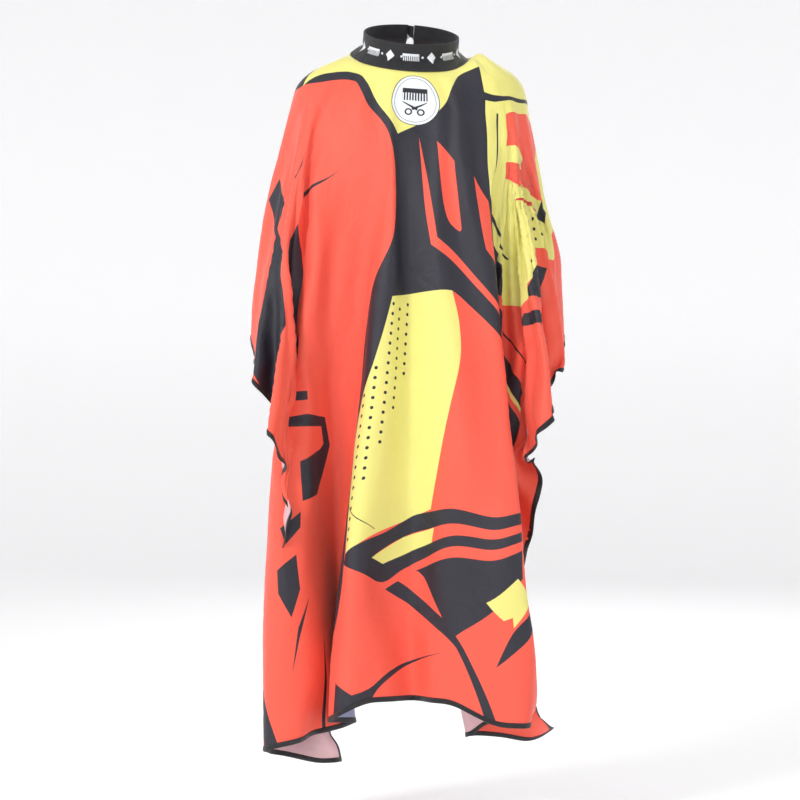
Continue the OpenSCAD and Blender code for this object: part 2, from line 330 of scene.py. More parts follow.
def subdivided(points, levels):
    """The grid with these points, after Catmull-Clark subdivision."""
    obj = mesh_object("smooth", points, grid_faces)
    mod = obj.modifiers.new("s", "SUBSURF")
    mod.levels, mod.boundary_smooth = levels, "PRESERVE_CORNERS"
    mesh = obj.evaluated_get(bpy.context.evaluated_depsgraph_get()).to_mesh()
    at = np.array([v.co for v in mesh.vertices])
    normals = np.array([n.vector for n in mesh.vertex_normals])
    quads = [tuple(p.vertices) for p in mesh.polygons]
    remove(obj)
    return at, normals, quads


fine_at, fine_normal, fine_quads = subdivided(draped, 2)
fine_flat = subdivided(np.c_[grid_flat, np.zeros(len(grid_flat))], 2)[0]


def rippled(at, normals, flat):
    """Fine folds that widen towards the hem, deep at the sides and faint in front, and
    small creases all over."""
    out = at.copy()
    for i, (u, v, _) in enumerate(flat):
        du, dv = u - max(-REST_X, min(REST_X, u)), v - max(-REST_Y, min(REST_Y, v))
        d = math.hypot(du, dv)
        side = math.degrees(math.atan2(abs(du), -dv)) if d else 0
        fan = smooth((side - 12) / 30) * smooth(d / 0.35) * (1 - 0.5 * smooth((side - 100) / 40))
        sway = noise.noise(Vector((u * 3, v * 3, 1.5)))
        high = 0.0075 * fan * math.sin(math.radians(side * 62) + 5 * sway) * (0.7 + sway)
        high += 0.0035 * smooth((-0.15 - v) / 0.6) * math.sin(u * 62 + 5 * sway) * (0.6 + sway)
        high += (0.0016 * noise.noise(Vector((u * 14, v * 9, 0)))
                 + 0.0005 * noise.noise(Vector((u * 60, v * 60, 4))))
        high *= smooth((math.hypot(u, v) - CLOTH_R - 0.004) / 0.05)
        out[i] += normals[i] * high
    return out


def vertex_normals(at, quads):
    total = np.zeros_like(at)
    q = np.array(quads)
    cross = np.cross(at[q[:, 2]] - at[q[:, 0]], at[q[:, 3]] - at[q[:, 1]])
    for k in range(4):
        np.add.at(total, q[:, k], cross)
    return total / np.linalg.norm(total, axis=1)[:, None]


fine_at = rippled(fine_at, fine_normal, fine_flat)
fine_normal = vertex_normals(fine_at, fine_quads)
triangles = [t for q in fine_quads for t in ((q[0], q[1], q[2]), (q[0], q[2], q[3]))]
flat_tree = BVHTree.FromPolygons([tuple(p) for p in fine_flat], triangles)


def drape(points):
    """Flat points of the cut as points of the draped cloth, with their normals."""
    at, normals = np.empty((len(points), 3)), np.empty((len(points), 3))
    for i, (u, v) in enumerate(points):
        hit, _, face, _ = flat_tree.find_nearest((u, v, 0))
        a, b, c = triangles[face]
        pa, pb, pc = fine_flat[a][:2], fine_flat[b][:2], fine_flat[c][:2]
        e, f, g = pb - pa, pc - pa, np.array(hit[:2]) - pa
        den = e[0] * f[1] - e[1] * f[0]
        s, t = (g[0] * f[1] - g[1] * f[0]) / den, (e[0] * g[1] - e[1] * g[0]) / den
        w = np.array((1 - s - t, s, t))
        at[i] = w @ fine_at[[a, b, c]]
        n = w @ fine_normal[[a, b, c]]
        normals[i] = n / np.linalg.norm(n)
    return at, normals


# ---- materials ----
def linear(r, g, b):
    """A colour of 0 to 255, as Blender's linear colour."""
    return tuple(((c / 255 + 0.055) / 1.055) ** 2.4 if c > 10 else c / 3294.6 for c in (r, g, b))


def new_material(name, rgb, rough, metal=0.0, sheen=0.0):
    material = bpy.data.materials.new(name)
    material.use_nodes = True
    tree = material.node_tree
    shader = tree.nodes["Principled BSDF"]
    shader.inputs["Base Color"].default_value = (*rgb, 1)
    shader.inputs["Roughness"].default_value = rough
    shader.inputs["Metallic"].default_value = metal
    shader.inputs["Sheen Weight"].default_value = sheen
    shader.inputs["Sheen Roughness"].default_value = 0.4
    return material, tree, shader


def node(tree, kind, **inputs):
    n = tree.nodes.new("ShaderNode" + kind)
    for key, value in inputs.items():
        n.inputs[key].default_value = value
    return n


def maths(tree, operation, a, b):
    n = tree.nodes.new("ShaderNodeMath")
    n.operation = operation
    for socket, value in zip(n.inputs, (a, b)):
        if isinstance(value, (int, float)):
            socket.default_value = value
        else:
            tree.links.new(value, socket)
    return n.outputs[0]


def vary_colour(tree, shader, rgb, fac, amount):
    """The base colour goes a little lighter and darker with fac."""
    mix = tree.nodes.new("ShaderNodeMix")
    mix.data_type = "RGBA"
    mix.inputs[6].default_value = (*[c * (1 - amount) for c in rgb], 1)
    mix.inputs[7].default_value = (*[min(1, c * (1 + amount)) for c in rgb], 1)
    tree.links.new(fac, mix.inputs[0])
    tree.links.new(mix.outputs[2], shader.inputs["Base Color"])


def fabric(name, rgb, rough=0.5, sheen=0.25, thread=0.0007, weave=0.5, crease=0.6, vary=0.07,
           rib=False):
    """Woven fabric. Its threads run along the piece's flat coordinates, in metres."""
    material, tree, shader = new_material(name, rgb, rough, sheen=sheen)
    flat = tree.nodes.new("ShaderNodeUVMap")
    flat.uv_map = "flat"
    threads = []
    for axis in ("X",) if rib else ("X", "Y"):
        wave = node(tree, "TexWave", Scale=math.pi / 10 / thread)
        wave.bands_direction = axis
        tree.links.new(flat.outputs[0], wave.inputs["Vector"])
        threads.append(wave.outputs["Fac"])
    cross = threads[0] if rib else maths(tree, "MULTIPLY", *threads)
    creases = node(tree, "TexNoise", Scale=26.0, Detail=5.0, Roughness=0.55, Distortion=0.6)
    tree.links.new(flat.outputs[0], creases.inputs["Vector"])
    blotches = node(tree, "TexNoise", Scale=5.0, Detail=3.0)
    tree.links.new(flat.outputs[0], blotches.inputs["Vector"])
    fine = node(tree, "Bump", Strength=weave, Distance=0.00025)
    tree.links.new(cross, fine.inputs["Height"])
    soft = node(tree, "Bump", Strength=crease, Distance=0.004)
    tree.links.new(creases.outputs["Fac"], soft.inputs["Height"])
    tree.links.new(fine.outputs[0], soft.inputs["Normal"])
    tree.links.new(soft.outputs[0], shader.inputs["Normal"])
    shade = maths(tree, "MULTIPLY_ADD", cross, 0.35)
    tree.links.new(blotches.outputs["Fac"], shade.node.inputs[2])
    vary_colour(tree, shader, rgb, shade, vary)
    return material


def hard(name, rgb, rough, metal, scratch=0.25):
    """Metal or painted metal, with fine scratches and slight wear."""
    material, tree, shader = new_material(name, rgb, rough, metal)
    place = tree.nodes.new("ShaderNodeTexCoord").outputs["Object"]
    marks = node(tree, "TexNoise", Scale=900.0, Detail=4.0, Roughness=0.7)
    tree.links.new(place, marks.inputs["Vector"])
    bump = node(tree, "Bump", Strength=scratch, Distance=0.00008)
    tree.links.new(marks.outputs["Fac"], bump.inputs["Height"])
    tree.links.new(bump.outputs[0], shader.inputs["Normal"])
    vary_colour(tree, shader, rgb, marks.outputs["Fac"], 0.18)
    return material


PRINT = [fabric("print_red", linear(246, 88, 66)), fabric("print_yellow", linear(234, 226, 126)),
         fabric("print_navy", linear(31, 30, 42), sheen=0.1),
         fabric("print_white", linear(232, 236, 240), vary=0.04),
         fabric("print_crimson", linear(214, 60, 48))]
REVERSE = [fabric("reverse_pink", linear(221, 180, 184)), fabric("reverse_cream", linear(226, 222, 200)),
           fabric("reverse_slate", linear(142, 148, 180)), fabric("reverse_white", linear(226, 222, 226)),
           fabric("reverse_rose", linear(208, 158, 164))]
TAPE = fabric("binding_fabric", linear(18, 17, 24), 0.45, 0.2, 0.0006, 0.8, 0.3, rib=True)
BAND_CLOTH = fabric("band_fabric", linear(15, 15, 21), 0.55, 0.2, 0.0008, 0.9, 0.5)
THREAD = fabric("thread", linear(50, 49, 60), 0.5, 0.2, 0.0004, 0.8, 0.0)
MARK_INK = fabric("mark_print", linear(228, 231, 236), 0.5, 0.1, 0.0008, 0.4, 0.2)
STEEL = hard("snap_steel_metal", linear(200, 202, 206), 0.28, 1.0)
CAP = hard("snap_cap_enamel", linear(24, 24, 29), 0.32, 0.3)


# ---- mesh tools ----
def build(name, points, faces, materials, index=None, flat=None, normals=None, body="cape"):
    """A mesh piece with its flat coordinates. flat has a point for each vertex."""
    obj = mesh_object(name, points, faces)
    mesh = obj.data
    for m in materials:
        mesh.materials.append(m)
    if index is not None:
        mesh.polygons.foreach_set("material_index", np.asarray(index, np.int32))
    corner = np.empty(len(mesh.loops), np.int32)
    mesh.loops.foreach_get("vertex_index", corner)
    mesh.uv_layers.new(name="flat").uv.foreach_set("vector", np.asarray(flat)[corner].ravel())
    mesh.polygons.foreach_set("use_smooth", [True] * len(mesh.polygons))
    if normals is not None:
        mesh.normals_split_custom_set_from_vertices([tuple(n) for n in normals])
    if body:
        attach(obj, body)
    return obj


def tube(sections, closed=False):
    """Faces over closed sections of equal size, with its ends filled unless it is closed."""
    n, m = len(sections), len(sections[0])
    faces = []
    for i in range(n if closed else n - 1):
        a, b = i * m, (i + 1) % n * m
        faces += [[a + k, b + k, b + (k + 1) % m, a + (k + 1) % m] for k in range(m)]
    if not closed:
        faces += [list(range(m)), [(n - 1) * m + k for k in range(m)][::-1]]
    return faces


def stitches(path, up, length=0.003, gap=0.0011, wide=0.00035, high=0.0003):
    """Stitches along a path that lies on a surface, as one list of points and faces."""
    along = np.r_[0, np.cumsum(np.linalg.norm(np.diff(path, axis=0), axis=1))]
    points, faces = [], []
    at = gap
    while at + length < along[-1]:
        a, b, c = (np.array([np.interp(at + length * t, along, path[:, i]) for i in range(3)])
                   for t in (0, 0.5, 1))
        n = np.array([np.interp(at + length / 2, along, up[:, i]) for i in range(3)])
        side = np.cross(c - a, n)
        side *= wide / np.linalg.norm(side)
        k = len(points)
        points += [a - n * high * 0.3, b + side, b + n * high, b - side, b - n * high * 0.5,
                   c - n * high * 0.3]
        faces += [[k, k + 1, k + 2], [k, k + 2, k + 3], [k, k + 3, k + 4], [k, k + 4, k + 1],
                  [k + 5, k + 2, k + 1], [k + 5, k + 3, k + 2], [k + 5, k + 4, k + 3],
                  [k + 5, k + 1, k + 4]]
        at += length + gap
    return points, faces


def joined(parts):
    """Several (points, faces, material, flat points) as one."""
    points, faces, index, flat = [], [], [], []
    for p, f, m, uv in parts:
        faces += [[i + len(points) for i in face] for face in f]
        index += [m] * len(f)
        points += [tuple(x) for x in p]
        flat += [tuple(x) for x in (uv if uv is not None else [(0, 0)] * len(p))]
    return points, faces, index, flat


def assembled(name, parts, materials, body="cape"):
    """A mesh piece made of several parts."""
    points, faces, index, flat = joined(parts)
    return build(name, points, faces, materials, index, flat, body=body)


def inside(points, polygon):
    """Which 2D points lie in a polygon."""
    x, y = points[:, 0], points[:, 1]
    hit = np.zeros(len(points), bool)
    box = ((x >= polygon[:, 0].min()) & (x <= polygon[:, 0].max())
           & (y >= polygon[:, 1].min()) & (y <= polygon[:, 1].max()))
    px, py = x[box], y[box]
    found = np.zeros(len(px), bool)
    for (ax, ay), (bx, by) in zip(polygon, np.roll(polygon, -1, axis=0)):
        if ay != by:
            found ^= ((ay > py) != (by > py)) & (px < (bx - ax) * (py - ay) / (by - ay) + ax)
    hit[box] = found
    return hit


def cut_mesh(edge, shapes, step):
    """Triangles over the inside of a closed edge, cut along each shape's outline. shapes
    are (colour, outline), the later over the earlier. Returns points, triangles, colours."""
    lines = [edge] + [outline for _, outline in shapes]
    near = BVHTree.FromPolygons([(*p, 0) for line in lines for p in line],
                                line_faces(lines), all_triangles=False)
    low, high = edge.min(0), edge.max(0)
    xs, ys = (np.arange(low[i] + step / 2, high[i], step) for i in (0, 1))
    grid = np.array([(x + (step / 2 if j % 2 else 0), y) for j, y in enumerate(ys) for x in xs])
    grid = grid[inside(grid, edge)]
    keep = [near.find_nearest((x, y, 0), step * 0.42)[0] is None for x, y in grid]
    points, edges = [], []
    for line in lines:
        k = len(points)
        points += [Vector(p) for p in line]
        edges += [(k + i, k + (i + 1) % len(line)) for i in range(len(line))]
    points += [Vector(p) for p in grid[keep]]
    made = delaunay_2d_cdt(points, edges, [], 0, 1e-6)
    at, faces = np.array([tuple(p) for p in made[0]]), np.array(made[2])
    middle = at[faces].mean(1)
    faces, middle = faces[inside(middle, edge)], middle[inside(middle, edge)]
    colour = np.zeros(len(faces), int)
    for c, outline in shapes:
        colour[inside(middle, outline)] = c
    used, renumbered = np.unique(faces, return_inverse=True)
    return at[used], renumbered.reshape(faces.shape), colour


def line_faces(lines):
    """Thin triangles over each line's edges, to measure distances from them."""
    faces, k = [], 0
    for line in lines:
        n = len(line)
        faces += [(k + i, k + (i + 1) % n, k + (i + 1) % n) for i in range(n)]
        k += n
    return faces


def two_sided(at, normal, triangles, thick):
    """A closed sheet from one layer: both its faces and its rim."""
    n = len(at)
    points = np.r_[at + normal * thick / 2, at - normal * thick / 2]
    count = {}
    for t in triangles:
        for a, b in ((t[0], t[1]), (t[1], t[2]), (t[2], t[0])):
            count[(a, b)] = 1
    rim = [(a, b) for a, b in count if (b, a) not in count]
    faces = [*triangles.tolist(), *(triangles[:, ::-1] + n).tolist(),
             *[[b, a, a + n, b + n] for a, b in rim]]
    return points, faces, len(rim)


# ---- the cape's cloth, cut and printed flat ----
def spaced(points, step=0.008):
    """A closed outline with a point at least every step."""
    p = np.array(points, float)
    out = []
    for a, b in zip(p, np.roll(p, -1, axis=0)):
        n = max(1, math.ceil(np.linalg.norm(b - a) / step))
        out += [a + (b - a) * i / n for i in range(n)]
    return np.array(out)


def cut_edge():
    """The cloth's edge, just inside the fold of the binding."""
    w, f, b = HALF_W - 0.0015, -FRONT + 0.0015, BACK - 0.0015
    s, t = SLIT_BOTTOM + 0.0015, SLIT_TOP + 0.0015
    half = math.degrees(math.asin(t / CLOTH_R))
    neck = [(CLOTH_R * math.sin(math.radians(a)), -CLOTH_R * math.cos(math.radians(a)))
            for a in np.linspace(-180 + half, 180 - half, 121)]
    return spaced([(s, b), (w, b), (w, f), (-w, f), (-w, b), (-s, b), *neck])


def disc(x, y, r, n=28):
    return [(x + r * math.cos(2 * math.pi * i / n), y + r * math.sin(2 * math.pi * i / n))
            for i in range(n)]


def comb(x, y, size, turn=0.0):
    """A comb of that length: its back and teeth, as a closed outline."""
    teeth, w, h = 9, size / 2, size * 0.2
    line = [(-w, h), (w, h), (w, -h)]
    for i in range(teeth):
        left = w - 2 * w * (i + 1) / teeth
        line += [(left + 2 * w / teeth * 0.55, -h), (left + 2 * w / teeth * 0.55, h * 0.25),
                 (left + 2 * w / teeth * 0.1, h * 0.25), (left + 2 * w / teeth * 0.1, -h)]
    line[-1] = (-w, -h)
    c, s = math.cos(turn), math.sin(turn)
    return [(x + c * p - s * q, y + s * p + c * q) for p, q in line]


# The printed pattern, in centimetres on the flat cut as seen from its printed side: x to
# the wearer's left, y up from the middle of the neck opening. A third value of 1 marks a
# corner, and other points are passed in a smooth curve.
def outline(points):
    """A closed outline, in metres."""
    n = len(points)
    turns = [i for i in range(n) if len(points[i]) > 2] or [0]
    out = []
    for a, b in zip(turns, turns[1:] + [turns[0] + n]):
        run = [np.array(points[i % n][:2]) / 100 for i in range(a, b + 1)]
        line = curve(run, 0.008) if len(run) > 2 else np.array(run)
        out += list(line[:-1])
    return spaced(out, 0.012)


def stroke(points, widths):
    """A brush stroke through points, with its width at each."""
    path = curve(np.array(points) / 100, 0.01)
    along = np.r_[0, np.cumsum(np.linalg.norm(np.diff(path, axis=0), axis=1))]
    half = np.interp(along, np.linspace(0, along[-1], len(widths)), widths)[:, None] / 200 + 0.0001
    way = np.gradient(path, axis=0)
    way /= np.linalg.norm(way, axis=1)[:, None]
    side = np.stack([-way[:, 1], way[:, 0]], 1) * half
    return np.r_[path + side, (path - side)[::-1]]


def flat_disc(x, y, r, n=36):
    return np.array(disc(x, y, r, n)) / 100


def corners(*points):
    return outline([(*p, 1) for p in points])


# Each ink's place in PRINT
RED, YELLOW, NAVY, WHITE, CRIMSON = range(5)


def bar(*points):
    return NAVY, corners(*points)


def brush(points, widths):
    return NAVY, stroke(points, widths)


def chest_shapes():
    """The dark yoke and column, with the red blades in it and the yellow collar shape."""
    dark = [(-10, 6, 1), (-19, 9, 1), (-22, 0, 1), (-20.5, -2.5, 1), (-17, -5.5), (-13.8, -9),
            (-9, -15.3), (-4.5, -22), (-3, -29.2), (-4.2, -39.3), (-9.5, -49.3),
            (-12.6, -56.5), (-13.8, -64), (-14.8, -73), (-18, -78), (-22.4, -90.5),
            (-27, -103.5), (-30, -115.5), (-31.5, -123, 1), (-20.5, -123, 1), (-20.3, -112),
            (-17, -103.5), (-14, -98, 1), (-14, -92, 1), (-4.7, -50.5, 1), (9, -49, 1),
            (14.5, -51), (21, -54.5, 1), (21, -34, 1), (17, -24), (15.3, -11, 1), (13, 0, 1)]
    blade = [(2, -22.5, 1), (4.4, -33), (6, -40, 1), (20, -48.5, 1), (20, -49.9, 1),
             (4.7, -41.3, 1), (3.3, -34.5), (2.2, -25)]
    return [
        (NAVY, outline(dark)),
        (RED, outline(blade)),
        (RED, outline([(5.3, -23, 1), (9.2, -26, 1), (10.8, -37.3, 1), (10.4, -38),
                           (8.7, -37.3), (7.5, -35), (6.4, -30)])),
        (RED, outline([(13.5, -26.5, 1), (16.6, -29.5, 1), (18.2, -40.5, 1),
                           (15.5, -38.8, 1), (14.5, -34.5)])),
        (YELLOW, outline([(-8, 5, 1), (-19.5, -3.5, 1), (-16, -4.4), (-13, -8), (-9.3, -12.5),
                              (-5.3, -17.8), (-2, -22, 1), (5.5, -17.5), (13.3, -7, 1),
                              (11, 3, 1)])),
        (CRIMSON, stroke([(-31, -117), (-25, -108), (-22, -98)], [.7, .6, 0])),
        brush([(-35, -121.5), (-33.4, -112), (-32, -104)], [.6, .5, 0])]


def left_sleeve_shapes():
    """The shoulder and sleeve at the wearer's left: yellow, with red and dark blocks."""
    return [
        (YELLOW, corners((10, 7), (13.3, -7), (15.1, -11.3), (19, -8.4), (24, -2), (27.4, 8),
                             (20, 20))),
        (YELLOW, corners((15.1, -11), (18.8, -8), (23.6, -1.5), (27, 8), (44, 12), (50, -8),
                             (46, -20), (46.5, -34.5), (39.8, -39), (38, -38.5), (36, -34),
                             (20, -34), (17.3, -28), (16.6, -23))),
        brush([(14.8, -11.5), (18.7, -8.4), (23.5, -1.8), (27, 8)], [1.3, .7, .5, .6]),
        brush([(17.9, -12.5), (19.8, -20), (22, -28.5)], [.5, .7, .6]),
        brush([(22, -28.2), (30, -31), (36.5, -31.5)], [.6, .8, .3]),
        (RED, corners((20.5, -11), (25, -3.5), (30, 2), (33, -1), (40, -7), (33, -16),
                          (30, -9.5), (23, -16.5))),
        (RED, corners((24.5, -19), (32, -12.5), (32.5, -17.5), (26, -21.5))),
        (CRIMSON, stroke([(33, -20.5), (37, -15.5), (42, -11)], [.3, .8, .2])),
        bar((37, -3), (43, -9), (41.5, -11), (38, -6.5)),
        bar((19, -33), (36, -34), (38, -38.5), (33, -39.5), (31, -36.5), (19, -38)),
        (RED, corners((44.5, -19), (47, -15), (49, -18.5), (45.4, -23))),
        bar((45.4, -23), (49, -18.5), (53, -25), (47.2, -31.5)),
        (RED, corners((47.2, -31.5), (53, -25), (54, -28), (48, -34.5))),
        bar((48, -34.5), (54, -28), (55, -30.5), (48.8, -37)),
        *[(NAVY, flat_disc(40 + 1.7 * i, -14.5 - 1.6 * j + 0.8 * (i % 2), .33, 12))
          for i in range(3) for j in range(3)]]


def left_fold_shapes():
    """Diagonal bars below the left sleeve."""
    return [
        bar((35.3, -40.5), (41.3, -40.3), (42.6, -44.3), (40, -43.4), (37, -42.8)),
        brush([(42.8, -42.5), (52.5, -43)], [.35, .3]),
        bar((44, -45), (55, -47.8), (55.4, -51), (44.8, -47.6)),
        (YELLOW, corners((44.8, -47.6), (55.4, -51), (55.6, -51.8), (45, -48.4))),
        bar((46.3, -50), (57, -53.2), (59, -58.2), (48.3, -54.3)),
        (NAVY, outline([(51, -60.2, 1), (54.5, -59.8), (60, -59, 1), (60.5, -61.4, 1),
                            (54.8, -62.2), (51.5, -62.4, 1)])),
        (NAVY, outline([(37.3, -50.5, 1), (43.3, -53.2), (47.8, -58.6), (48.4, -62.5),
                            (47.3, -66, 1), (43.5, -65, 1), (45.6, -60), (41.8, -55.2)])),
        bar((43, -65.8), (51.5, -67), (52, -68.6), (43, -67.6)),
        (YELLOW, corners((43, -67.8), (52, -68.8), (52.6, -74.2), (43, -71.5))),
        bar((42, -75), (53, -75.6), (54, -84), (42, -82.5)),
        (NAVY, outline([(60, -95, 1), (53, -101), (46, -112, 1), (56, -105), (64, -98, 1)])),
        brush([(40, -121.5), (47, -114), (51, -104)], [2.2, 2.8, 2])]


def dots(panel):
    """Halftone dots down the panel's side, in slanting columns."""
    made = []
    for c in range(7):
        for r in range(30):
            y = -51.8 - 1.72 * (r + 0.5 * (c % 2))
            x = -0.3 - 2.05 * c + 0.1 * (y + 52)
            if y < -64.5 - 6.1 * c and not (c == 4 and y < -87):
                continue
            ring = flat_disc(x, y, .42, 8)
            if inside(ring, panel).all():
                made.append((NAVY, flat_disc(x, y, .31, 12)))
    return made


def skirt_shapes():
    """The yellow panel with its dots, and the bands and blocks below it."""
    panel = outline([(-4.7, -50.5, 1), (9, -49, 1), (10.4, -55), (10.3, -62.5), (7, -77),
                     (4.4, -87.5, 1), (-12.9, -94, 1), (-13.4, -86), (-12.9, -74),
                     (-11.3, -68.5), (-8.2, -62.5)])
    top = [(-13.2, -93.6), (-6, -92), (.5, -88.8), (7.7, -87.3), (22.5, -84)]
    slot = [(-7.7, -96), (-1.5, -92.5), (5.7, -90.5), (13.3, -88.4), (22.5, -86)]
    slot_low = [(-5.3, -97.2), (0, -95), (5.5, -93), (13.3, -90.2), (22.5, -87.4)]
    low = [(-6.2, -100.3), (-1.3, -98), (4.4, -95.5), (10, -93.2), (22.5, -89)]

    def band(a, b):
        return outline([(*a[0], 1), *a[1:-1], (*a[-1], 1), (*b[-1], 1), *b[1:-1][::-1], (*b[0], 1)])

    return [
        (YELLOW, panel), *dots(panel),
        brush([(-13.2, -85), (-10.5, -88.5), (-7.3, -91)], [.1, .14, .1]),
        (NAVY, band(top, [(-14, -94.8), *low])), (RED, band(slot, slot_low)),
        (YELLOW, corners((-7.7, -96), (-1.5, -92.5), (5.2, -90.7), (4.6, -93.3), (0, -95),
                             (-5.3, -97.2))),
        (NAVY, outline([(1, -98.4, 1), (5.5, -96.7), (12.8, -94.2), (22.5, -90.6, 1),
                            (22.5, -95.4, 1), (9.6, -109, 1), (7.7, -108.2, 1), (6.9, -106, 1),
                            (2.7, -99.4)])),
        (NAVY, outline([(-2.5, -100.2, 1), (6.9, -106.2, 1), (9.6, -108.8), (11.9, -111.3),
                            (15.5, -117), (18.2, -123, 1), (16, -123, 1), (13.5, -117),
                            (10.6, -112), (7.7, -109.4), (-4.8, -101.6, 1)])),
        (YELLOW, corners((15.4, -100.5), (21.4, -95.5), (25, -99), (20.6, -104), (20.4, -102.2),
                             (18.7, -102.8))),
        (NAVY, outline([(29, -98.5, 1), (25, -101), (20.5, -104.8), (17.2, -111, 1),
                            (22.5, -106.8), (26, -103.4)])),
        (NAVY, outline([(-15, -115, 1), (-11.5, -118.6, 1), (-8.5, -118.6), (-4.5, -115.8),
                            (1, -113.8), (7.5, -112.2, 1), (1, -114.2), (-4, -116.6), (-7, -119),
                            (-8.6, -122, 1), (-15.5, -122, 1)]))]


def right_side_shapes():
    """Bars, wedges and the bracket at the wearer's right."""
    return [
        brush([(-28.8, -23.2), (-22, -25), (-14.5, -24.6)], [.9, .6, 0]),
        brush([(-31, -17), (-28, -17), (-25.5, -15.6)], [.5, .3, 0]),
        bar((-36, -4), (-41, -2), (-53, -22), (-66, -27), (-69, -36), (-52, -34), (-44, -24)),
        bar((-33, -26.5), (-38, -26), (-46, -38), (-54, -41), (-53, -46), (-41, -43.5),
            (-33.5, -32)),
        (NAVY, outline([(-28.2, -50.5, 1), (-28.9, -54.5), (-30.2, -56.2), (-30.6, -54.8)])),
        bar((-34, -60.4), (-28.3, -61), (-28.5, -62.5), (-34, -62)),
        bar((-34, -64.8), (-29, -65), (-24, -66.4), (-23.4, -71.5), (-26.2, -76.5), (-28.2, -79.5),
            (-32.3, -80), (-31.6, -73), (-26.2, -71.8), (-25.1, -71), (-25.3, -67.8), (-34, -66.4)),
        bar((-37, -84), (-33, -81.8), (-33.5, -84.5), (-36.5, -87)),
        bar((-39, -91), (-35, -89), (-35.5, -95), (-38, -99.5), (-39.5, -95)),
        bar((-34, -96.8), (-37.3, -103.2), (-39.8, -109), (-37.2, -101.5)),
        brush([(-46, -121.5), (-50, -104), (-60, -92), (-69, -88)], [3, 2.4, 2.4, 3])]


def back_shapes():
    """The back repeats the front's bars in a looser way."""
    return [
        *[(NAVY, outline([(s * 2, 10, 1), (s * 12, 22), (s * 16, 39, 1), (s * 26, 39, 1),
                              (s * 21, 22), (s * 13, 9, 1)])) for s in (-1, 1)],
        (YELLOW, corners((28, 16), (46, 20), (50, 34), (34, 32))),
        brush([(30, 36), (44, 26), (60, 24), (69, 16)], [1.2, 2.2, 2.2, 3]),
        brush([(-28, 18), (-40, 22), (-54, 20), (-69, 26)], [1, 2.4, 2.6, 3.4]),
        (YELLOW, corners((-30, 26), (-48, 27), (-56, 35), (-36, 36)))]


def badge_shapes(x=1.1, y=-16.3, r=4.5):
    """The round badge, with a comb and scissors in it."""
    def spot(dx, dy, size):
        return flat_disc(x + dx, y + dy, size, 40)

    made = [(NAVY, spot(0, 0, r + .14)), (WHITE, spot(0, 0, r)),
            (NAVY, spot(0, 0, r - .5)), (WHITE, spot(0, 0, r - .58)),
            (NAVY, np.array(comb(x, y + 1.3, 4.8)) / 100)]
    for s in (-1, 1):
        made += [brush([(x + s * 2.3, y + .1), (x - s * .5, y - 1.3)], [.12, .5]),
                 (NAVY, spot(-s * 1.15, -1.85, .72)), (WHITE, spot(-s * 1.15, -1.85, .42))]
    # cut a little low, because the chest's slope draws it out
    return [(ink, line * (1, 0.87) + (0, 0.0013 * y)) for ink, line in made]


PRINT_SHAPES = (chest_shapes() + left_sleeve_shapes() + left_fold_shapes() + skirt_shapes()
                + right_side_shapes() + back_shapes() + badge_shapes())

cut = cut_edge()
flat_at, flat_faces, flat_colour = cut_mesh(cut, PRINT_SHAPES, 0.0085)
cloth_at, cloth_normal = drape(flat_at)
cloth_points, cloth_faces, rim_count = two_sided(cloth_at, cloth_normal, flat_faces, CLOTH_T)
colours = len(PRINT)
cape = build("cape_cloth_draped", cloth_points, cloth_faces, PRINT + REVERSE,
             [*flat_colour, *(flat_colour + colours), *[2] * rim_count],
             np.r_[flat_at, flat_at], np.r_[cloth_normal, -cloth_normal])
bake = cape.data.uv_layers.new(name="OFBake")
layout = np.r_[(flat_at + (HALF_W, FRONT)) * 0.34 + (0.01, 0.01),
               (flat_at + (HALF_W, FRONT)) * 0.34 + (0.51, 0.01)]
corner_index = np.empty(len(cape.data.loops), np.int32)
cape.data.loops.foreach_get("vertex_index", corner_index)
bake.uv.foreach_set("vector", layout[corner_index].ravel())
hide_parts("cape_cloth")


# ---- bindings ----
def binding(name, a, b, inner_a, inner_b):
    """A tape folded over the cloth's edge from a to b, with a stitch line on each face."""
    a, b, inner_a, inner_b = (np.array(p, float) for p in (a, b, inner_a, inner_b))
    n = math.ceil(np.linalg.norm(b - a) / 0.006)
    t = np.linspace(0, 1, n + 1)[:, None]
    outer, inner = a + (b - a) * t, inner_a + (inner_b - inner_a) * t
    rows = {s: drape(outer + (inner - outer) * s) for s in (0, 0.3, 0.65, 0.82, 1)}
    edge = rows[0][0]
    out = edge - rows[0.3][0]
    out /= np.linalg.norm(out, axis=1)[:, None]
    puff = 1 + 0.22 * np.sin(np.arange(n + 1) * 1.9)[:, None] * np.sin(np.arange(n + 1) * 0.37)[:, None]
    half = CLOTH_T / 2
    profile = [(1, .00015, 0), (1, .00045, -.0003), (.82, .0006, 0), (.65, .0009, 0),
               (.3, .0010, 0), (0, .0008, 0), (0, .0005, .0007)]
    sections = []
    for side in (1, -1):
        for s, high, push in profile if side == 1 else profile[::-1]:
            at, normal = rows[s]
            swell = 1 if s in (1, .82) else puff
            sections.append(at + out * push + side * normal * (half + high * swell))
    sections.insert(len(profile), edge + out * 0.0010)
    points = np.stack(sections, 1)
    m = points.shape[1]
    length = np.r_[0, np.cumsum(np.linalg.norm(np.diff(outer, axis=0), axis=1))]
    flat = np.stack([np.repeat(length, m), np.tile(np.arange(m) * 0.0012, n + 1)], 1)
    parts = [(points.reshape(-1, 3), tube(points), 0, flat)]
    at, normal = rows[.82]
    for side in (1, -1):
        path = at + side * normal * (half + 0.00062)
        parts.append((*stitches(path, side * normal), 1, None))
    piece = assembled(name + "_tape", parts, [TAPE, THREAD])
    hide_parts(name)
    return piece


